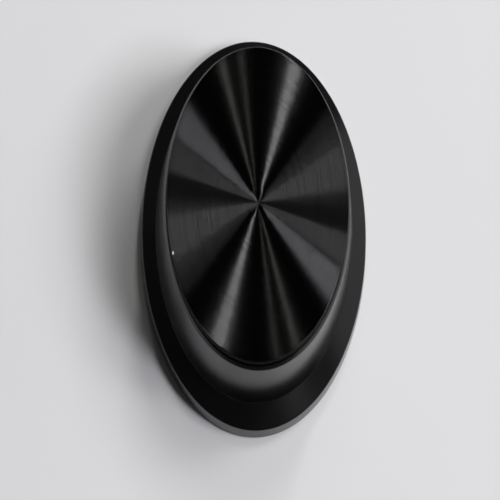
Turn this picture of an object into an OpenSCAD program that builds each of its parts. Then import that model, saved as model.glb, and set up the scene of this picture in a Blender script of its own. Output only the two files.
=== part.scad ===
// Oval push-on control knob: a cap with a steep wall, a low flared skirt and an upright foot,
// a raised spun face plate, and a moulded insert whose slotted hub grips a 6 mm shaft.
// The origin is the centre of the base, +Z points up out of the face, +Y is the long axis.

/* [Outline] */
// Width of the base, across the short axis
base_w = 28.8; // [27.6:0.2:36]
// Length of the base, along the long axis
base_l = 51.6; // [44:0.2:64]
// Height from the base to the top of the face
knob_h = 18; // [16.5:0.5:24]

/* [Shell] */
// Thickness of the side wall just under the rim
shell_wall = 1.8; // [1.4:0.1:2.4]
// Thickness of the top wall under the face plate
top_wall = 2; // [1.2:0.1:3]
// Width of the rim round the seat
rim_w = 0.25; // [0.2:0.05:0.5]
// How far the chamfered rim drops from the seat to the wall
rim_drop = 0.45; // [0.2:0.05:0.8]
// How far the wall leans out between the rim and the skirt
wall_lean = 1; // [0.6:0.1:1.4]
// Height of the flared skirt between the foot and the wall
skirt_h = 1.4; // [1:0.1:2]
// Radius of the hollow between the skirt and the wall, on the short axis
waist_bend = 0.3; // [0.3:0.1:1.5]
// Height of the foot under the skirt
foot_h = 3.3; // [2.4:0.1:4]
// How far the foot leans in towards the skirt
foot_lean = 0.2; // [0.1:0.05:0.4]
// Chamfer under the foot
base_chamfer = 0.4; // [0.2:0.1:0.8]

/* [Face plate] */
// Width of the flat spun face
face_w = 22; // [18:0.2:22.8]
// Height of the face above the rim
face_proud = 1.5; // [1:0.1:2]
// Depth of the seat that the plate is glued into
seat_depth = 0.5; // [0.3:0.1:0.8]
// Width of the bevel round the face
bevel_w = 0.1; // [0.06:0.02:0.3]
// Height of the bevel round the face
bevel_h = 0.3; // [0.1:0.1:0.8]
// Gap between the plate's edge and its seat
seat_clearance = 0.05; // [0.03:0.01:0.12]
// Width of the turning centre in the middle of the face
pip_w = 0.6; // [0.3:0.1:1]
// Depth of the turning centre
pip_depth = 0.12; // [0.05:0.01:0.2]

/* [Insert] */
// Gap between the insert and the shell
insert_clearance = 0.05; // [0.03:0.01:0.1]
// Thickness of the insert's rim and floor
insert_wall = 1.6; // [1.2:0.1:2]
// How far the insert's rim sits above the base
insert_set_in = 0.8; // [0.4:0.1:1.5]
// Thickness of the ribs under the insert's floor
rib_w = 1.2; // [0.8:0.1:1.6]
// Height of the ribs
rib_h = 2.6; // [1.5:0.1:3]
// Distance between the cross ribs
rib_pitch = 11; // [8:0.5:13]

/* [Hub] */
// Diameter of the shaft that the knob fits
shaft_d = 6; // [4:0.1:7]
// Radial clearance between the shaft and the bore
shaft_clearance = 0.025; // [0.01:0.005:0.05]
// Thickness of the insert above the end of the bore
bore_cap = 1; // [0.6:0.1:1.5]
// Room under the hub for the panel nut
nut_room = 5; // [4.4:0.1:5.4]
// Wall of the hub round the bore
hub_wall = 2.5; // [1.8:0.1:3]
// Width of the slots that let the hub flex
slot_w = 1; // [0.6:0.1:1.5]

/* [Spring] */
// Thickness of the spring ring
spring_t = 0.8; // [0.5:0.1:1]
// Height of the spring ring
spring_h = 2; // [1.2:0.1:2.2]
// Opening of the split ring, in degrees
spring_gap = 36; // [20:2:60]
// Distance from the hub's end to the groove
groove_inset = 1; // [0.6:0.1:1.2]
// Depth of the groove that holds the ring
groove_depth = 0.4; // [0.2:0.05:0.6]
// Gap between the ring and its groove
spring_clearance = 0.05; // [0.03:0.01:0.1]

/* [Hidden] */
$fn = 96;
// How far a cutting shape runs past the face it cuts
past = 1;
// How far the hollow's arc cuts past the wall and the skirt, so that it crosses them cleanly
arc_bite = 0.004;

// Outer form, as radii on the short axis
oval = base_l / base_w;
base_r = base_w / 2;
rim_z = knob_h - face_proud;
seat_z = rim_z - seat_depth;
plate_t = face_proud + seat_depth;
plate_r = face_w / 2 + bevel_w;
seat_r = plate_r + seat_clearance;
rim_r = seat_r + rim_w;
foot_r = base_r - foot_lean;
waist_r = rim_r + wall_lean;
waist_h = foot_h + skirt_h;
lean = atan2(wall_lean, rim_z - rim_drop - waist_h);
flare = atan2(foot_r - waist_r, skirt_h);
hollow_run = waist_bend * tan((flare - lean) / 2);
hollow_top = [waist_r - hollow_run * sin(lean), waist_h + hollow_run * cos(lean)];
hollow_foot = [waist_r + hollow_run * sin(flare), waist_h - hollow_run * cos(flare)];
hollow_mid = hollow_top + waist_bend * [cos(lean), sin(lean)];

// Cavity and insert, as widths and lengths of their ovals
cavity_w = 2 * (rim_r - shell_wall);
cavity_l = 2 * (rim_r * oval - shell_wall);
ceiling_z = seat_z - top_wall;
insert_w = cavity_w - 2 * insert_clearance;
insert_l = cavity_l - 2 * insert_clearance;
well_w = insert_w - 2 * insert_wall;
well_l = insert_l - 2 * insert_wall;
floor_z = ceiling_z - insert_wall;
rib_z = floor_z - rib_h;

// Hub and spring
bore_r = shaft_d / 2 + shaft_clearance;
hub_r = bore_r + hub_wall;
hub_z = nut_room;
bore_depth = ceiling_z - bore_cap - hub_z;
groove_r = hub_r - groove_depth;
groove_z = hub_z + groove_inset;
groove_h = spring_h + 2 * spring_clearance;

// Turns a half section about Z in four quarters, each stretched to the given oval.
module oval_turned(stretch) {
    for (quarter = [0:90:270])
        scale([1, stretch, 1])
            rotate([0, 0, quarter])
                rotate_extrude(angle = 90)
                    children();
}

// An upright oval rod of the given width, length and height.
module oval_rod(w, l, h) {
    oval_turned(l / w)
        square([w / 2, h]);
}

// Half section of the shell's outside: foot, flared skirt, hollow, wall, chamfered rim, seat.
module shell_section() {
    difference() {
        polygon([
            [0, 0],
            [base_r - base_chamfer, 0],
            [base_r, base_chamfer],
            [foot_r, foot_h],
            hollow_foot,
            hollow_top,
            [rim_r, rim_z - rim_drop],
            [seat_r, rim_z],
            [seat_r, seat_z],
            [0, seat_z]
        ]);
        translate(hollow_mid)
            circle(r = waist_bend + arc_bite);
    }
}

// Half section of the face plate: straight edge, bevel, and the turning centre.
module plate_section() {
    polygon([
        [0, 0],
        [plate_r, 0],
        [plate_r, plate_t - bevel_h],
        [face_w / 2, plate_t],
        [pip_w / 2, plate_t],
        [0, plate_t - pip_depth]
    ]);
}

// Ribs under the insert's floor: one along the knob and a row across it.
module ribs() {
    translate([0, 0, rib_z + rib_h / 2])
        cube([rib_w, insert_l, rib_h], center = true);
    for (y = [-rib_pitch, 0, rib_pitch])
        translate([0, y, rib_z + rib_h / 2])
            cube([insert_w, rib_w, rib_h], center = true);
}

module outer_shell() {
    color([0.07, 0.07, 0.075])
    difference() {
        oval_turned(oval)
            shell_section();
        translate([0, 0, -past])
            oval_rod(cavity_w, cavity_l, ceiling_z + past);
    }
}

module face_plate() {
    color([0.16, 0.16, 0.17])
    translate([0, 0, seat_z])
        oval_turned(oval)
            plate_section();
}

module hub_insert() {
    color([0.12, 0.12, 0.12])
    difference() {
        union() {
            difference() {
                translate([0, 0, insert_set_in])
                    oval_rod(insert_w, insert_l, ceiling_z - insert_set_in);
                oval_rod(well_w, well_l, floor_z);
            }
            intersection() {
                ribs();
                oval_rod(insert_w - insert_wall, insert_l - insert_wall, ceiling_z);
            }
            translate([0, 0, hub_z])
                cylinder(r = hub_r, h = ceiling_z - hub_z - insert_wall / 2);
        }
        translate([0, 0, hub_z - past])
            cylinder(r = bore_r, h = bore_depth + past);
        translate([-hub_r - past, -slot_w / 2, hub_z - past])
            cube([2 * (hub_r + past), slot_w, rib_z - hub_z + past]);
        translate([0, 0, groove_z])
            difference() {
                cylinder(r = hub_r + past, h = groove_h);
                translate([0, 0, -past])
                    cylinder(r = groove_r, h = groove_h + 2 * past);
            }
    }
}

module hub_spring() {
    color([0.72, 0.73, 0.75])
    translate([0, 0, groove_z + spring_clearance])
        rotate([0, 0, spring_gap / 2])
            rotate_extrude(angle = 360 - spring_gap)
                translate([groove_r + spring_clearance, 0])
                    square([spring_t, spring_h]);
}

outer_shell();
face_plate();
hub_insert();
hub_spring();
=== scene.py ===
"""Looks of an oval push-on control knob: spun face, satin shell, moulded insert and spring ring."""

import logging
import math
from dataclasses import dataclass, field
from enum import Enum
from typing import Union

import bpy
from mathutils import Matrix, Vector


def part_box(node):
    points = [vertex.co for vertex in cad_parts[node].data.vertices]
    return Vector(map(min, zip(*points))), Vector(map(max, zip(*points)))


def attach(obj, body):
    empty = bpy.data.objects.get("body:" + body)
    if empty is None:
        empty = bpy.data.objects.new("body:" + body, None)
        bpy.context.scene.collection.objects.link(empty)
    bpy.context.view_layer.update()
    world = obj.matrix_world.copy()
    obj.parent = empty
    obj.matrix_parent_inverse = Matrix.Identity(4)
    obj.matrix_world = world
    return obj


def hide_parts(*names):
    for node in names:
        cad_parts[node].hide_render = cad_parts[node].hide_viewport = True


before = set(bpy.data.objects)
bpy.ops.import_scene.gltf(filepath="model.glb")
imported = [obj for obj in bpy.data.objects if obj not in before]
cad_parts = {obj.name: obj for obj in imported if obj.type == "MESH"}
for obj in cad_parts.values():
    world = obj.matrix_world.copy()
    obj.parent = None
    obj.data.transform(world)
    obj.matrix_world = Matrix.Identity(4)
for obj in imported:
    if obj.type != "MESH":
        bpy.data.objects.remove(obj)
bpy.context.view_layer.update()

LOG = logging.getLogger("knob")
BODY = "root"
MM = 0.001
QUARTER = 90
TURNING_MAP = "turning"
WHITE = (1.0, 1.0, 1.0)
COOL = (0.95, 0.93, 1.0)
GREENISH = (0.95, 1.0, 0.9)
STEEL = (0.98, 1.0, 1.03)
# Places of the colour sockets on a Mix node
MIX_SHARE, MIX_FIRST, MIX_SECOND, MIX_RESULT = 0, 6, 7, 2
# The most of a side that one corner's rounding may take
SOFT_LIMIT = 0.45

Socket = bpy.types.NodeSocket
Value = Union[float, int, tuple, Socket]
Tint = tuple[float, float, float]
Colour = tuple[float, float, float, float]


class Slot(Enum):
    """The names of the record's material slots, which this script does not use."""

    SATIN = "black_satin"
    SPUN = "black_spun"
    SPRING = "spring_steel"


class Node(Enum):
    """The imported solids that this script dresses."""

    SHELL = "outer_shell"
    PLATE = "face_plate"
    INSERT = "hub_insert"
    SPRING = "hub_spring"


class Sheet:
    """A short way of adding and joining the nodes of one shader tree."""

    def __init__(self, tree: bpy.types.NodeTree) -> None:
        """Keeps the tree that the nodes go into."""
        self.tree = tree

    def feed(self, socket: Socket, value: Value) -> None:
        """Links a socket to another one, or sets it to a constant.

        Args:
            socket: The input that takes the value.
            value: Another node's output, a number or a tuple.
        """
        if isinstance(value, bpy.types.NodeSocket):
            self.tree.links.new(value, socket)
        else:
            socket.default_value = value

    def feed_all(self, made: bpy.types.Node, inputs: dict[str, Value]) -> None:
        """Feeds a node's inputs by name, with underscores for spaces."""
        for name, value in inputs.items():
            self.feed(made.inputs[name.replace("_", " ")], value)

    def node(self, kind: str, **inputs: Value) -> bpy.types.Node:
        """Adds a node and feeds its inputs by name.

        Args:
            kind: The node's type, without its ShaderNode prefix.
            **inputs: Input names, with underscores for spaces, and their values.

        Returns:
            The new node.
        """
        made = self.tree.nodes.new("ShaderNode" + kind)
        self.feed_all(made, inputs)
        return made

    def math(self, operation: str, *values: Value) -> Socket:
        """Adds a Math node.

        Args:
            operation: The operation's name, such as MULTIPLY.
            *values: Its inputs in order.

        Returns:
            The node's result.
        """
        made = self.tree.nodes.new("ShaderNodeMath")
        made.operation = operation
        for place, value in enumerate(values):
            self.feed(made.inputs[place], value)
        return made.outputs[0]

    def vector(self, operation: str, *values: Value) -> Socket:
        """Adds a Vector Math node.

        Args:
            operation: The operation's name, such as NORMALIZE.
            *values: Its inputs in order, which are a vector and a factor for SCALE.

        Returns:
            The node's result.
        """
        made = self.tree.nodes.new("ShaderNodeVectorMath")
        made.operation = operation
        places = [made.inputs[0], made.inputs["Scale"]] if operation == "SCALE" else made.inputs
        for place, value in zip(places, values):
            self.feed(place, value)
        return made.outputs["Value" if operation == "DISTANCE" else "Vector"]

    def spread(self, value: Socket, low: float, high: float) -> Socket:
        """Maps a value of 0 to 1 onto the range from low to high."""
        return self.node("MapRange", Value=value, To_Min=low, To_Max=high).outputs["Result"]

    def around(self, value: Socket, middle: float, half: float) -> Socket:
        """Maps a value of 0 to 1 onto a range that reaches half to each side of a middle."""
        return self.spread(value, middle - half, middle + half)

    def mask(self, value: Socket, full: float, gone: float) -> Socket:
        """Turns a value into a mask with a smooth edge.

        Args:
            value: The value to mask by.
            full: Where the mask is 1, and under it too.
            gone: Where the mask is 0, and over it too.

        Returns:
            The mask.
        """
        made = self.node("MapRange", Value=value, From_Min=full, From_Max=gone, To_Min=1.0, To_Max=0.0)
        made.interpolation_type = "SMOOTHSTEP"
        return made.outputs["Result"]

    def mix(self, share: Value, first: Value, second: Value) -> Socket:
        """Mixes two colours.

        Args:
            share: How much of the second colour shows.
            first: A colour of four numbers, or a socket.
            second: A colour of four numbers, or a socket.

        Returns:
            The mixed colour.
        """
        made = self.tree.nodes.new("ShaderNodeMix")
        made.data_type = "RGBA"
        self.feed(made.inputs[MIX_SHARE], share)
        self.feed(made.inputs[MIX_FIRST], first)
        self.feed(made.inputs[MIX_SECOND], second)
        return made.outputs[MIX_RESULT]

    def position_mm(self) -> Socket:
        """Gives the place on the object in millimetres."""
        return self.vector("SCALE", self.node("TexCoord").outputs["Object"], 1 / MM)

    def group(self, kit: bpy.types.NodeTree, **inputs: Value) -> bpy.types.Node:
        """Places a node group and feeds its inputs by name.

        Args:
            kit: The node group.
            **inputs: Input names and their values.

        Returns:
            The group's node.
        """
        made = self.tree.nodes.new("ShaderNodeGroup")
        made.node_tree = kit
        self.feed_all(made, inputs)
        return made


def grey(level: float, tint: Tint = WHITE) -> Colour:
    """Gives an opaque colour of one level, with a tint."""
    return tuple(level * part for part in tint) + (1.0,)


def shades(level: float, swing: tuple[float, float], tint: Tint = WHITE) -> list[Colour]:
    """Gives the darker and the lighter shade of a level, each a share of it, with a tint."""
    return [grey(level * share, tint) for share in swing]


@dataclass
class Effects:
    """The shader node groups that more than one finish uses."""

    grain_detail: float = 3.0
    cloud_detail: float = 4.0
    line_detail: float = 4.0
    line_range: tuple[float, float] = (0.3, 0.7)
    grain: bpy.types.NodeTree = field(init=False)
    dust: bpy.types.NodeTree = field(init=False)
    lines: bpy.types.NodeTree = field(init=False)

    def __post_init__(self) -> None:
        """Builds the groups."""
        self.grain = self._build_grain()
        self.dust = self._build_dust()
        self.lines = self._build_lines()

    @staticmethod
    def _new_group(
        name: str, inputs: dict[str, tuple[str, float]], outputs: list[str],
    ) -> tuple[bpy.types.NodeTree, Sheet, bpy.types.Node, bpy.types.Node]:
        """Starts a node group with named sockets.

        Args:
            name: The group's name.
            inputs: Each input's name, with its socket kind and first value.
            outputs: The names of its outputs, which are all values.

        Returns:
            The group's tree, its sheet, its input node and its output node.
        """
        tree = bpy.data.node_groups.new(name, "ShaderNodeTree")
        for socket_name, (kind, first) in inputs.items():
            socket = tree.interface.new_socket(socket_name, in_out="INPUT", socket_type=kind)
            if kind == "NodeSocketFloat":
                socket.default_value = first
        for socket_name in outputs:
            tree.interface.new_socket(socket_name, in_out="OUTPUT", socket_type="NodeSocketFloat")
        return tree, Sheet(tree), tree.nodes.new("NodeGroupInput"), tree.nodes.new("NodeGroupOutput")

    def _build_grain(self) -> bpy.types.NodeTree:
        """Builds the fine grain of a blasted or moulded surface.

        Returns:
            A group that turns a place into a height and a cloudiness, both from 0 to 1.
        """
        inputs = {
            "Place": ("NodeSocketVector", 0.0),
            "Grain per mm": ("NodeSocketFloat", 6.0),
            "Cloud per mm": ("NodeSocketFloat", 0.2),
        }
        tree, sheet, entry, leave = self._new_group("fine_grain", inputs, ["Height", "Cloud"])
        place = entry.outputs["Place"]
        fine = sheet.node(
            "TexNoise", Vector=place, Scale=entry.outputs["Grain per mm"], Detail=self.grain_detail,
        )
        cloud = sheet.node(
            "TexNoise", Vector=place, Scale=entry.outputs["Cloud per mm"], Detail=self.cloud_detail,
        )
        sheet.feed(leave.inputs["Height"], fine.outputs["Fac"])
        sheet.feed(leave.inputs["Cloud"], cloud.outputs["Fac"])
        return tree

    def _build_dust(self) -> bpy.types.NodeTree:
        """Builds sparse specks of dust.

        Returns:
            A group that turns a place into a mask that is 1 on a speck.
        """
        inputs = {
            "Place": ("NodeSocketVector", 0.0),
            "Cells per mm": ("NodeSocketFloat", 0.4),
            "Speck": ("NodeSocketFloat", 0.04),
            "Share": ("NodeSocketFloat", 0.2),
        }
        tree, sheet, entry, leave = self._new_group("dust_specks", inputs, ["Mask"])
        cells = sheet.node("TexVoronoi", Vector=entry.outputs["Place"], Scale=entry.outputs["Cells per mm"])
        lot = sheet.node("SeparateColor", Color=cells.outputs["Color"])
        chosen = sheet.math("LESS_THAN", lot.outputs["Red"], entry.outputs["Share"])
        size = sheet.math("MULTIPLY", entry.outputs["Speck"], lot.outputs["Green"])
        inside = sheet.math("LESS_THAN", cells.outputs["Distance"], size)
        sheet.feed(leave.inputs["Mask"], sheet.math("MULTIPLY", chosen, inside))
        return tree

    def _build_lines(self) -> bpy.types.NodeTree:
        """Builds the uneven fine lines of turned or rolled metal.

        Returns:
            A group that turns a distance in millimetres into lines of 0 to 1.
        """
        inputs = {
            "Distance": ("NodeSocketFloat", 0.0),
            "Lines per mm": ("NodeSocketFloat", 5.0),
        }
        tree, sheet, entry, leave = self._new_group("fine_lines", inputs, ["Line"])
        noise = sheet.node("TexNoise", Scale=entry.outputs["Lines per mm"], Detail=self.line_detail)
        noise.noise_dimensions = "1D"
        sheet.feed(noise.inputs["W"], entry.outputs["Distance"])
        low, high = self.line_range
        clear = sheet.node("MapRange", Value=noise.outputs["Fac"], From_Min=low, From_Max=high)
        sheet.feed(leave.inputs["Line"], clear.outputs["Result"])
        return tree


class Finish:
    """A procedural material with its Principled shader ready to feed."""

    def __init__(self, name: str) -> None:
        """Makes the material and keeps its sheet and shader.

        Args:
            name: The material's name.
        """
        self.material = bpy.data.materials.new(name)
        self.material.use_nodes = True
        self.sheet = Sheet(self.material.node_tree)
        self.shader = self.material.node_tree.nodes["Principled BSDF"]

    def set(self, **inputs: Value) -> None:
        """Feeds the shader's inputs by name."""
        self.sheet.feed_all(self.shader, inputs)

    def bump(self, height: Socket, depth_mm: float) -> None:
        """Feeds the shader's normal from a height of 0 to 1, with the depth of a full step."""
        made = self.sheet.node("Bump", Height=height, Strength=1.0, Distance=depth_mm * MM)
        self.set(Normal=made.outputs["Normal"])


@dataclass(frozen=True)
class Dust:
    """The few specks of dust that lie on a finish."""

    cells_per_mm: float
    speck: float
    share: float
    level: float

    def mask(self, sheet: Sheet, effects: Effects, place: Socket) -> Socket:
        """Gives a mask that is 1 on a speck.

        Args:
            sheet: The material's sheet.
            effects: The shared node groups.
            place: The place in millimetres.

        Returns:
            The mask.
        """
        made = sheet.group(
            effects.dust,
            Place=place,
            Cells_per_mm=self.cells_per_mm,
            Speck=self.speck,
            Share=self.share,
        )
        return made.outputs["Mask"]


@dataclass(frozen=True)
class SatinBlack:
    """Black anodised metal with a fine satin grain."""

    level: float = 0.003
    level_swing: tuple[float, float] = (0.75, 1.3)
    roughness: float = 0.2
    roughness_spread: float = 0.03
    refraction: float = 1.5
    grain_per_mm: float = 7.0
    grain_depth_mm: float = 0.004
    cloud_per_mm: float = 0.25
    dust: Dust = Dust(cells_per_mm=0.35, speck=0.035, share=0.25, level=0.16)

    def make(self, effects: Effects) -> bpy.types.Material:
        """Builds the material.

        Args:
            effects: The shared node groups.

        Returns:
            The finished material.
        """
        finish = Finish("satin_black")
        sheet = finish.sheet
        place = sheet.position_mm()
        grain = sheet.group(
            effects.grain, Place=place, Grain_per_mm=self.grain_per_mm, Cloud_per_mm=self.cloud_per_mm,
        )
        clean = sheet.mix(grain.outputs["Cloud"], *shades(self.level, self.level_swing))
        specks = self.dust.mask(sheet, effects, place)
        finish.set(
            Base_Color=sheet.mix(specks, clean, grey(self.dust.level)),
            Roughness=sheet.around(grain.outputs["Cloud"], self.roughness, self.roughness_spread),
            IOR=self.refraction,
        )
        finish.bump(grain.outputs["Height"], self.grain_depth_mm)
        return finish.material


@dataclass(frozen=True)
class SpunBlack:
    """Black anodised metal, turned in fine oval rings that throw a sunburst."""

    stretch: float
    level: float = 0.018
    level_swing: tuple[float, float] = (0.65, 1.35)
    glance_level: float = 0.5
    roughness: float = 0.15
    ring_per_mm: float = 4.5
    groove_per_mm: float = 50.0
    groove_slope: float = 0.4
    # A small pale spot, not metallic, painted beside the face's edge: its place in mm, half length, core
    # share, slimness and level
    pale_spot: tuple[float, float, float] = (-10.27, -6.34, 18.0)
    pale_spot_half_l: float = 0.3
    pale_spot_core: float = 0.5
    pale_spot_slim: float = 2.2
    pale_spot_level: float = 0.45
    dust: Dust = Dust(cells_per_mm=0.3, speck=0.03, share=0.3, level=0.06)

    def make(self, effects: Effects) -> bpy.types.Material:
        """Builds the material.

        Args:
            effects: The shared node groups.

        Returns:
            The finished material.
        """
        finish = Finish("spun_black")
        sheet = finish.sheet
        place = sheet.position_mm()
        radius = self._ring_radius(sheet, place)
        ring = sheet.group(effects.lines, Distance=radius, Lines_per_mm=self.ring_per_mm)
        turned = sheet.mix(ring.outputs["Line"], *shades(self.level, self.level_swing))
        specks = self.dust.mask(sheet, effects, place)
        dusty = sheet.mix(specks, turned, grey(self.dust.level))
        # A small pale spot is painted beside the face's edge, and it is not metallic there
        pale_spot = self._pale_spot_mask(sheet, place)
        matt = sheet.math("MAXIMUM", specks, pale_spot)
        across = sheet.node("Tangent")
        across.direction_type = "UV_MAP"
        across.uv_map = TURNING_MAP
        finish.set(
            Base_Color=sheet.mix(pale_spot, dusty, grey(self.pale_spot_level)),
            Roughness=self.roughness,
            Metallic=sheet.math("SUBTRACT", 1.0, matt),
            Specular_Tint=grey(self.glance_level),
            Anisotropic=1.0,
            Tangent=across.outputs["Tangent"],
            Normal=self._grooved(sheet, place, radius),
        )
        return finish.material

    def _grooved(self, sheet: Sheet, place: Socket, radius: Socket) -> Socket:
        """Tilts the normal to and fro across the grooves.

        Args:
            sheet: The material's sheet.
            place: The place in millimetres.
            radius: The ring through that place.

        Returns:
            The tilted normal.
        """
        turn = sheet.math("FRACT", sheet.math("MULTIPLY", radius, self.groove_per_mm))
        slope = sheet.around(turn, 0.0, self.groove_slope)
        flat = sheet.vector("MULTIPLY", place, (1.0, 1.0, 0.0))
        lean = sheet.vector("SCALE", sheet.vector("NORMALIZE", flat), slope)
        normal = sheet.node("NewGeometry").outputs["Normal"]
        return sheet.vector("NORMALIZE", sheet.vector("ADD", normal, lean))

    def _ring_radius(self, sheet: Sheet, place: Socket) -> Socket:
        """Finds the oval ring through a place.

        Args:
            sheet: The material's sheet.
            place: The place in millimetres.

        Returns:
            The ring's short half axis in millimetres.
        """
        parts = sheet.node("SeparateXYZ", Vector=place)
        across = sheet.math("POWER", parts.outputs["X"], 2.0)
        along = sheet.math("POWER", sheet.math("DIVIDE", parts.outputs["Y"], self.stretch), 2.0)
        return sheet.math("SQRT", sheet.math("ADD", across, along))

    def _pale_spot_mask(self, sheet: Sheet, place: Socket) -> Socket:
        """Marks the small pale spot painted beside the face's edge.

        Args:
            sheet: The material's sheet.
            place: The place in millimetres.

        Returns:
            A mask that is 1 on the pale spot.
        """
        offset = sheet.vector("SUBTRACT", place, self.pale_spot)
        slim = sheet.vector("MULTIPLY", offset, (self.pale_spot_slim, 1.0, 1.0))
        away = sheet.vector("DISTANCE", slim, (0.0, 0.0, 0.0))
        return sheet.mask(away, self.pale_spot_half_l * self.pale_spot_core, self.pale_spot_half_l)


@dataclass(frozen=True)
class MouldedBlack:
    """Matt black moulded plastic with a spark-eroded grain."""

    level: float = 0.03
    level_swing: tuple[float, float] = (0.8, 1.25)
    roughness: float = 0.52
    roughness_spread: float = 0.07
    grain_per_mm: float = 4.0
    grain_depth_mm: float = 0.012
    cloud_per_mm: float = 0.15

    def make(self, effects: Effects) -> bpy.types.Material:
        """Builds the material.

        Args:
            effects: The shared node groups.

        Returns:
            The finished material.
        """
        finish = Finish("moulded_black")
        sheet = finish.sheet
        place = sheet.position_mm()
        grain = sheet.group(
            effects.grain, Place=place, Grain_per_mm=self.grain_per_mm, Cloud_per_mm=self.cloud_per_mm,
        )
        finish.set(
            Base_Color=sheet.mix(grain.outputs["Cloud"], *shades(self.level, self.level_swing)),
            Roughness=sheet.around(grain.outputs["Cloud"], self.roughness, self.roughness_spread),
        )
        finish.bump(grain.outputs["Height"], self.grain_depth_mm)
        return finish.material


@dataclass(frozen=True)
class SpringSteel:
    """Bright rolled spring steel with fine lines along the strip."""

    level: float = 0.58
    level_swing: tuple[float, float] = (0.85, 1.1)
    tint: Tint = STEEL
    roughness: float = 0.26
    roughness_spread: float = 0.08
    line_per_mm: float = 14.0
    line_depth_mm: float = 0.003
    grain_per_mm: float = 5.0
    cloud_per_mm: float = 0.4

    def make(self, effects: Effects) -> bpy.types.Material:
        """Builds the material.

        Args:
            effects: The shared node groups.

        Returns:
            The finished material.
        """
        finish = Finish("bright_spring_steel")
        sheet = finish.sheet
        place = sheet.position_mm()
        height = sheet.node("SeparateXYZ", Vector=place).outputs["Z"]
        rolled = sheet.group(effects.lines, Distance=height, Lines_per_mm=self.line_per_mm)
        grain = sheet.group(
            effects.grain, Place=place, Grain_per_mm=self.grain_per_mm, Cloud_per_mm=self.cloud_per_mm,
        )
        finish.set(
            Base_Color=sheet.mix(grain.outputs["Cloud"], *shades(self.level, self.level_swing, self.tint)),
            Roughness=sheet.around(rolled.outputs["Line"], self.roughness, self.roughness_spread),
            Metallic=1.0,
        )
        finish.bump(rolled.outputs["Line"], self.line_depth_mm)
        return finish.material


@dataclass(frozen=True)
class Station:
    """A point of a half section, in millimetres: half width, half length, height and softness."""

    a: float
    b: float
    z: float
    soft: float = 0.0

    def toward(self, other: "Station", share: float) -> "Station":
        """Finds a point on the way to another.

        Args:
            other: The point that the way leads to.
            share: How much of the way is taken, from 0 to 1.

        Returns:
            The point there, with no softness.
        """
        return Station(
            self.a + (other.a - self.a) * share,
            self.b + (other.b - self.b) * share,
            self.z + (other.z - self.z) * share,
        )

    def reach(self, other: "Station") -> float:
        """Gives the distance to another point along the short axis."""
        return math.hypot(other.a - self.a, other.z - self.z)


def soften(path: list[Station], steps: int = 5) -> list[Station]:
    """Rounds the corners of a half section.

    Args:
        path: The section's points, each with the softness of its corner.
        steps: How many spans each rounding has.

    Returns:
        The points of the rounded section.
    """
    rounded = [path[0]]
    for before, corner, after in zip(path, path[1:], path[2:]):
        if corner.soft == 0:
            rounded.append(corner)
            continue
        start = corner.toward(before, min(SOFT_LIMIT, corner.soft / corner.reach(before)))
        end = corner.toward(after, min(SOFT_LIMIT, corner.soft / corner.reach(after)))
        for step in range(steps + 1):
            share = step / steps
            first = start.toward(corner, share)
            rounded.append(first.toward(corner.toward(end, share), share))
    rounded.append(path[-1])
    return rounded


@dataclass
class Turning:
    """An oval turning: a half section that runs from one pole to the other, taken round the axis."""

    name: str
    path: list[Station]
    segments: int = 320

    def build(self) -> bpy.types.Object:
        """Builds the closed mesh with a map across and along its rings.

        Returns:
            The new object, smooth shaded with weighted normals.
        """
        rings = self.path[1:-1]
        points = [self._point(self.path[0], 0)]
        for ring in rings:
            points += [self._point(ring, place) for place in range(self.segments)]
        points.append(self._point(self.path[-1], 0))
        mesh = bpy.data.meshes.new(self.name)
        mesh.from_pydata(points, [], self._faces(len(rings)))
        self._map(mesh)
        return finished(self.name, mesh)

    def _point(self, station: Station, place: int) -> tuple[float, float, float]:
        """Gives a ring's point in metres."""
        turn = math.tau * place / self.segments
        return station.a * math.cos(turn) * MM, station.b * math.sin(turn) * MM, station.z * MM

    def _faces(self, rings: int) -> list[tuple[int, ...]]:
        """Joins the poles and rings, with the outside on the right of the path.

        Args:
            rings: How many rings lie between the poles.

        Returns:
            The faces as tuples of point numbers.
        """
        count = self.segments
        last = 1 + rings * count
        faces = []
        for place in range(count):
            after = (place + 1) % count
            faces.append((0, 1 + place, 1 + after))
            for ring in range(rings - 1):
                here = 1 + ring * count
                faces.append((here + place, here + count + place, here + count + after, here + after))
            here = 1 + (rings - 1) * count
            faces.append((here + place, last, here + after))
        return faces

    def _map(self, mesh: bpy.types.Mesh) -> None:
        """Maps U along the section and V round the rings.

        Args:
            mesh: The mesh to map, with its faces in the order of the segments.
        """
        along = [0.0]
        for before, after in zip(self.path, self.path[1:]):
            along.append(along[-1] + max(before.reach(after), abs(after.b - before.b)))
        layer = mesh.uv_layers.new(name=TURNING_MAP)
        per_segment = len(self.path) - 1
        for face in mesh.polygons:
            place = face.index // per_segment
            for loop in face.loop_indices:
                point = mesh.loops[loop].vertex_index
                layer.data[loop].uv = self._map_point(point, place, along)

    def _map_point(self, point: int, place: int, along: list[float]) -> tuple[float, float]:
        """Gives one corner's place on the map.

        Args:
            point: The corner's point number.
            place: The segment that the face is in.
            along: How far along the section each station lies.

        Returns:
            The U and V of the corner.
        """
        if point == 0:
            return 0.0, (place + 0.5) / self.segments
        station = (point - 1) // self.segments + 1
        if station == len(self.path) - 1:
            return 1.0, (place + 0.5) / self.segments
        column = (point - 1) % self.segments
        wrapped = self.segments if column == 0 and place == self.segments - 1 else column
        return along[station] / along[-1], wrapped / self.segments


def finished(name: str, mesh: bpy.types.Mesh) -> bpy.types.Object:
    """Makes a smooth piece from a mesh.

    Args:
        name: The piece's name.
        mesh: Its mesh.

    Returns:
        The new object, linked to the scene.
    """
    mesh.validate()
    mesh.shade_smooth()
    piece = bpy.data.objects.new(name, mesh)
    bpy.context.scene.collection.objects.link(piece)
    weighted = piece.modifiers.new("weighted_normals", "WEIGHTED_NORMAL")
    weighted.keep_sharp = False
    return piece


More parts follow.
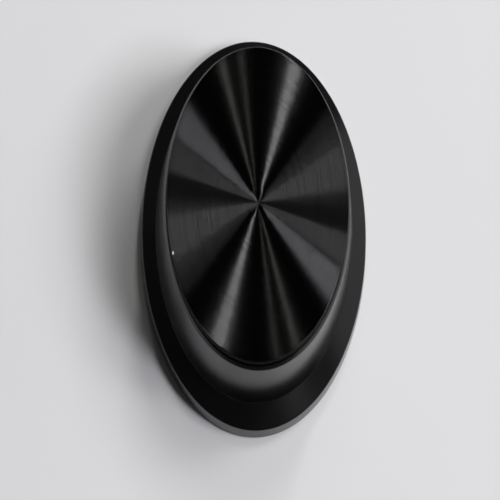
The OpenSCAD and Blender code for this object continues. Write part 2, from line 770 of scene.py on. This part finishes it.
def dress(piece: bpy.types.Object, material: bpy.types.Material, node: Node) -> None:
    """Gives a new piece its finish and lets it stand for its solid.

    Args:
        piece: The new piece.
        material: Its finish.
        node: The solid that it stands for.
    """
    piece.data.materials.append(material)
    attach(piece, BODY)
    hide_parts(node.value)
    LOG.info("%s: %d points, %s", piece.name, len(piece.data.vertices), material.name)


def half_sizes(node: Node) -> tuple[float, float, float, float]:
    """Gives a solid's half width, half length, foot and top in millimetres."""
    low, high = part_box(node.value)
    return high.x / MM, high.y / MM, low.z / MM, high.z / MM


@dataclass
class FacePlate:
    """The raised spun disc, with its steep edge and turning centre."""

    face_half_w: float = 11.0
    bevel_h: float = 0.3
    pip_r: float = 0.3
    pip_depth: float = 0.12
    edge_soft: float = 0.03
    edge_band: float = 0.09
    rings: int = 12
    half_w: float = field(init=False)
    stretch: float = field(init=False)
    foot: float = field(init=False)
    top: float = field(init=False)

    def __post_init__(self) -> None:
        """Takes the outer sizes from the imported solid."""
        self.half_w, half_l, self.foot, self.top = half_sizes(Node.PLATE)
        self.stretch = half_l / self.half_w

    def _at(self, radius: float, z: float, soft: float = 0.0) -> Station:
        """Gives a point of the plate's section."""
        return Station(radius, radius * self.stretch, z, soft)

    def _rings(self) -> list[Station]:
        """Spaces the rings of the face evenly.

        Returns:
            A point for each ring, from the face's edge to the turning centre.
        """
        outer = self.face_half_w - self.edge_band
        step = (self.pip_r - outer) / self.rings
        return [self._at(outer + step * ring, self.top) for ring in range(self.rings + 1)]

    def build(self) -> bpy.types.Object:
        """Builds the plate's mesh.

        Returns:
            The new piece.
        """
        edge = soften([
            self._at(0, self.foot),
            self._at(self.half_w, self.foot, self.edge_soft),
            self._at(self.half_w, self.top - self.bevel_h, self.edge_soft),
            self._at(self.face_half_w, self.top, self.edge_soft),
            self._at(self.face_half_w - self.edge_band, self.top),
        ])
        path = edge[:-1] + self._rings() + [self._at(0, self.top - self.pip_depth)]
        return Turning("spun_face", path).build()

    def dress(self, piece: bpy.types.Object, effects: Effects) -> None:
        """Gives the plate its spun finish."""
        dress(piece, SpunBlack(self.stretch).make(effects), Node.PLATE)


@dataclass
class OuterShell:
    """The satin cap, open inside: upright foot, flared skirt, steep wall, chamfered rim and seat."""

    wall: float = 1.8
    top_wall: float = 2.0
    seat_clearance: float = 0.05
    seat_depth: float = 0.5
    rim_w: float = 0.25
    rim_drop: float = 0.45
    wall_lean: float = 1.0
    skirt_h: float = 1.4
    waist_bend: float = 0.06
    waist_spans: int = 8
    foot_h: float = 3.3
    foot_lean: float = 0.2
    foot_chamfer: float = 0.4
    edge_soft: float = 0.1
    rim_soft: float = 0.04
    skirt_soft: float = 0.15
    half_w: float = field(init=False)
    stretch: float = field(init=False)
    seat_half_w: float = field(init=False)
    rim: float = field(init=False)

    def __post_init__(self) -> None:
        """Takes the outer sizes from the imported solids."""
        self.half_w, half_l, _, self.rim = half_sizes(Node.SHELL)
        self.stretch = half_l / self.half_w
        self.seat_half_w = half_sizes(Node.PLATE)[0] + self.seat_clearance

    def _at(self, radius: float, z: float, soft: float = 0.0) -> Station:
        """Gives a point of the shell's outer section."""
        return Station(radius, radius * self.stretch, z, soft)

    def _waist(self, rim_half_w: float) -> list[Station]:
        """Gives the hollow where the wall runs out into the skirt.

        Args:
            rim_half_w: Half the width of the rim.

        Returns:
            Points on an arc that is tangent to the wall and to the skirt.
        """
        waist_half_w = rim_half_w + self.wall_lean
        waist_h = self.foot_h + self.skirt_h
        lean = math.atan2(self.wall_lean, self.rim - self.rim_drop - waist_h)
        flare = math.atan2(self.half_w - self.foot_lean - waist_half_w, self.skirt_h)
        run = self.waist_bend * math.tan((flare - lean) / 2)
        mid_a = waist_half_w - run * math.sin(lean) + self.waist_bend * math.cos(lean)
        mid_z = waist_h + run * math.cos(lean) + self.waist_bend * math.sin(lean)
        points = []
        for step in range(self.waist_spans + 1):
            turn = lean + (flare - lean) * step / self.waist_spans
            radius = mid_a - self.waist_bend * math.cos(turn)
            points.append(self._at(radius, mid_z - self.waist_bend * math.sin(turn)))
        return points

    def build(self) -> bpy.types.Object:
        """Builds the shell's mesh.

        Returns:
            The new piece.
        """
        seat_z = self.rim - self.seat_depth
        ceiling = seat_z - self.top_wall
        rim_half_w = self.seat_half_w + self.rim_w
        inner_a = rim_half_w - self.wall
        inner_b = rim_half_w * self.stretch - self.wall
        path = soften([
            self._at(0, seat_z),
            self._at(self.seat_half_w, seat_z, self.edge_soft),
            self._at(self.seat_half_w, self.rim, self.rim_soft),
            self._at(rim_half_w, self.rim - self.rim_drop, self.rim_soft),
            *self._waist(rim_half_w),
            self._at(self.half_w - self.foot_lean, self.foot_h, self.skirt_soft),
            self._at(self.half_w, self.foot_chamfer, self.edge_soft),
            self._at(self.half_w - self.foot_chamfer, 0, self.edge_soft),
            Station(inner_a, inner_b, 0, self.edge_soft),
            Station(inner_a, inner_b, ceiling, self.edge_soft),
            Station(0, 0, ceiling),
        ])
        return Turning("satin_shell", path[::-1]).build()

    def dress(self, piece: bpy.types.Object, effects: Effects) -> None:
        """Gives the shell its satin finish."""
        dress(piece, SatinBlack().make(effects), Node.SHELL)


@dataclass
class HubSpring:
    """The split spring ring, with rounded edges and square-cut ends."""

    thickness: float = 0.8
    gap: float = math.radians(36)
    soft: float = 0.18
    corner_steps: int = 4
    spans: int = 120
    outer: float = field(init=False)
    foot: float = field(init=False)
    top: float = field(init=False)

    def __post_init__(self) -> None:
        """Takes the ring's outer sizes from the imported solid."""
        low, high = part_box(Node.SPRING.value)
        self.outer = high.y / MM
        self.foot = low.z / MM
        self.top = high.z / MM

    def _section(self) -> list[tuple[float, float]]:
        """Gives the strip's rounded section.

        Returns:
            Points of radius and height, going round once.
        """
        inside = self.outer - self.thickness + self.soft
        outside = self.outer - self.soft
        low = self.foot + self.soft
        high = self.top - self.soft
        corners = (
            (outside, low, -QUARTER),
            (outside, high, 0),
            (inside, high, QUARTER),
            (inside, low, 2 * QUARTER),
        )
        points = []
        for radius, z, start in corners:
            for step in range(self.corner_steps + 1):
                turn = math.radians(start + QUARTER * step / self.corner_steps)
                points.append((radius + self.soft * math.cos(turn), z + self.soft * math.sin(turn)))
        return points

    def build(self) -> bpy.types.Object:
        """Builds the ring's mesh.

        Returns:
            The new piece.
        """
        section = self._section()
        count = len(section)
        points = []
        for span in range(self.spans + 1):
            turn = self.gap / 2 + (math.tau - self.gap) * span / self.spans
            for radius, z in section:
                points.append((radius * math.cos(turn) * MM, radius * math.sin(turn) * MM, z * MM))
        faces = [tuple(range(count))]
        for span in range(self.spans):
            here = span * count
            for corner in range(count):
                after = (corner + 1) % count
                faces.append((here + corner, here + count + corner, here + count + after, here + after))
        faces.append(tuple(self.spans * count + corner for corner in reversed(range(count))))
        mesh = bpy.data.meshes.new("spring_ring")
        mesh.from_pydata(points, [], faces)
        return finished("spring_ring", mesh)

    def dress(self, piece: bpy.types.Object, effects: Effects) -> None:
        """Gives the ring its steel finish."""
        dress(piece, SpringSteel().make(effects), Node.SPRING)


class HubInsert:
    """The moulded insert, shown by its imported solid."""

    def dress(self, effects: Effects) -> None:
        """Gives the solid its moulded finish.

        Args:
            effects: The shared node groups.
        """
        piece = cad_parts[Node.INSERT.value]
        material = MouldedBlack().make(effects)
        if not piece.material_slots:
            piece.data.materials.append(material)
        for place in piece.material_slots:
            place.material = material
        LOG.info("%s: packed solid, %s", piece.name, material.name)


@dataclass(frozen=True)
class Panel:
    """A soft studio panel, hung where a surface that leans along its bearing mirrors it into the view.

    The bearing and the spread to each side of it are in degrees, the lean that mirrors it in radians.
    """

    name: str
    bearing: float
    spread: float
    radiance: float
    tint: Tint = WHITE
    tilt: float = math.radians(15.1)
    tilt_step: float = 1.01
    length: float = 0.3
    distance: float = 0.8

    def _toward(self, view: Vector, tilt: float) -> Vector:
        """Gives the direction that a leaning surface mirrors into the view.

        Args:
            view: The direction from the knob to the camera.
            tilt: How far the surface leans, along the panel's bearing.

        Returns:
            The direction from the knob to the panel.
        """
        turn = math.radians(self.bearing)
        normal = Vector((
            math.sin(tilt) * math.cos(turn),
            math.sin(tilt) * math.sin(turn),
            math.cos(tilt),
        ))
        return 2 * view.dot(normal) * normal - view

    def build(self, view: Vector) -> None:
        """Hangs the panel with its length along the bearing.

        Args:
            view: The direction from the knob to the camera.
        """
        toward = self._toward(view, self.tilt)
        # A slightly larger lean shows which way the length runs
        along = self._toward(view, self.tilt * self.tilt_step) - toward
        side = along.cross(toward).normalized()
        # A mirrored ray turns twice as far as the surface
        half_angle = 2 * math.radians(self.spread) * math.tan(self.tilt)
        width = 2 * half_angle * self.distance
        data = bpy.data.lights.new(self.name, "AREA")
        data.shape = "RECTANGLE"
        data.size = width
        data.size_y = self.length
        data.color = self.tint
        data.energy = self.radiance * math.pi * width * self.length
        lamp = bpy.data.objects.new(self.name, data)
        axes = Matrix((side, toward.cross(side), toward)).transposed()
        lamp.matrix_world = Matrix.Translation(toward * self.distance) @ axes.to_4x4()
        lamp.visible_camera = False
        bpy.context.scene.collection.objects.link(lamp)


@dataclass
class Studio:
    """The plain pale floor, the dim surround, the panels and the camera."""

    floor_half: float = 8.0
    floor_spans: int = 64
    floor_opening: float = 0.96
    floor_drop: float = 0.00002
    floor_level: float = 0.735
    floor_swing: tuple[float, float] = (0.98, 1.02)
    floor_roughness: float = 0.9
    floor_gloss: float = 0.1
    mottle_per_mm: float = 0.02
    mottle_detail: float = 3.0
    camera_distance: float = 0.330
    camera_azimuth: float = math.radians(-7.3)
    camera_elevation: float = math.radians(75.82)
    camera_roll: float = math.radians(7.07)
    picture_px: int = 500
    px_per_mm: float = 7.82
    knob_right_px: float = 3.1
    knob_up_px: float = 11.1
    clip_near: float = 0.0033
    clip_far: float = 32.0
    # Shares of the way up from straight below to straight above, and how light it is there
    surround: tuple[tuple[float, float], ...] = ((0.4, 0.5), (0.5, 0.15), (0.6, 0.04), (1.0, 0.03))
    panels: tuple[Panel, ...] = (
        Panel("right_key", -46.9, 6.8, 22.0, COOL, tilt=math.radians(19)),
        Panel("right_fill", -28.2, 8.0, 10.0, tilt=math.radians(19)),
        Panel("right_dim", -8.3, 11.0, 1.1),
        Panel("right_low", -8.0, 20.0, 0.58, tilt=math.radians(38)),
        Panel("corner_window", 23.7, 14.2, 9.4, tilt=math.radians(12)),
        Panel("corner_dim", 47.2, 5.5, 2.3),
        Panel("back_strip", 74.6, 2.2, 40.0),
        Panel("back_slit_right", 95.5, 0.6, 10.0, GREENISH),
        Panel("back_slit_left", 103.1, 0.9, 14.0, GREENISH),
    )

    def build(self) -> None:
        """Builds the whole studio."""
        self._build_floor()
        self._build_surround()
        for panel in self.panels:
            panel.build(self._view())
        self._build_camera()
        bpy.context.scene.view_settings.view_transform = "Standard"

    def _view(self) -> Vector:
        """Works out where the camera stands.

        Returns:
            The direction from the knob to the camera.
        """
        turn, lift = self.camera_azimuth, self.camera_elevation
        flat = math.cos(lift)
        return Vector((math.sin(turn) * flat, -math.cos(turn) * flat, math.sin(lift)))

    def _build_floor(self) -> None:
        """Lays the floor, clear from below and open under the knob so that its underside has light."""
        half_w, half_l, _, _ = half_sizes(Node.SHELL)
        opening = self.floor_opening * MM
        points, faces = [], []
        for span in range(self.floor_spans):
            turn = math.tau * span / self.floor_spans
            x, y = math.cos(turn), math.sin(turn)
            points.append((half_w * opening * x, half_l * opening * y, -self.floor_drop))
            points.append((self.floor_half * x, self.floor_half * y, -self.floor_drop))
            here, after = 2 * span, 2 * ((span + 1) % self.floor_spans)
            faces.append((here, here + 1, after + 1, after))
        mesh = bpy.data.meshes.new("floor")
        mesh.from_pydata(points, [], faces)
        floor = bpy.data.objects.new("floor", mesh)
        bpy.context.scene.collection.objects.link(floor)
        finish = Finish("pale_floor")
        sheet = finish.sheet
        mottle = sheet.node(
            "TexNoise", Vector=sheet.position_mm(), Scale=self.mottle_per_mm, Detail=self.mottle_detail,
        )
        finish.set(
            Base_Color=sheet.mix(mottle.outputs["Fac"], *shades(self.floor_level, self.floor_swing)),
            Roughness=self.floor_roughness,
            Specular_IOR_Level=self.floor_gloss,
        )
        clear = sheet.node("BsdfTransparent")
        below = sheet.node("NewGeometry").outputs["Backfacing"]
        either = sheet.node("MixShader", Fac=below)
        sheet.feed(either.inputs[1], finish.shader.outputs["BSDF"])
        sheet.feed(either.inputs[2], clear.outputs["BSDF"])
        output = finish.material.node_tree.nodes["Material Output"]
        sheet.feed(output.inputs["Surface"], either.outputs["Shader"])
        mesh.materials.append(finish.material)

    def _build_surround(self) -> None:
        """Sets the surround: dark overhead, dim at the horizon and pale below it."""
        world = bpy.data.worlds.new("surround")
        bpy.context.scene.world = world
        world.use_nodes = True
        sheet = Sheet(world.node_tree)
        upward = sheet.node("SeparateXYZ", Vector=sheet.node("TexCoord").outputs["Generated"])
        share = sheet.node("MapRange", Value=upward.outputs["Z"], From_Min=-1.0, From_Max=1.0)
        ramp = sheet.node("ValToRGB", Fac=share.outputs["Result"])
        stops = ramp.color_ramp.elements
        for place, (position, level) in enumerate(self.surround):
            stop = stops[place] if place < len(stops) else stops.new(position)
            stop.position = position
            stop.color = grey(level)
        sheet.feed(world.node_tree.nodes["Background"].inputs["Color"], ramp.outputs["Color"])

    def _build_camera(self) -> None:
        """Places the camera where the knob fills the picture as it should."""
        back = self._view()
        level = Vector((math.cos(self.camera_azimuth), math.sin(self.camera_azimuth), 0.0))
        upright = back.cross(level)
        right = level * math.cos(self.camera_roll) + upright * math.sin(self.camera_roll)
        up = upright * math.cos(self.camera_roll) - level * math.sin(self.camera_roll)
        data = bpy.data.cameras.new("camera")
        data.lens = self.px_per_mm * self.camera_distance / MM * data.sensor_width / self.picture_px
        camera = bpy.data.objects.new("camera", data)
        step = MM / self.px_per_mm
        aside = right * (-self.knob_right_px * step) + up * (-self.knob_up_px * step)
        axes = Matrix((right, up, back)).transposed()
        camera.matrix_world = Matrix.Translation(back * self.camera_distance + aside) @ axes.to_4x4()
        data.clip_start = self.clip_near
        data.clip_end = self.clip_far
        bpy.context.scene.collection.objects.link(camera)
        bpy.context.scene.camera = camera


def main() -> None:
    """Builds the knob's pieces, dresses them and sets the studio round them."""
    logging.basicConfig(level=logging.INFO, format="%(name)s %(message)s")
    effects = Effects()
    for part in (OuterShell(), FacePlate(), HubSpring()):
        part.dress(part.build(), effects)
    HubInsert().dress(effects)
    Studio().build()


if __name__ == "__main__":
    main()
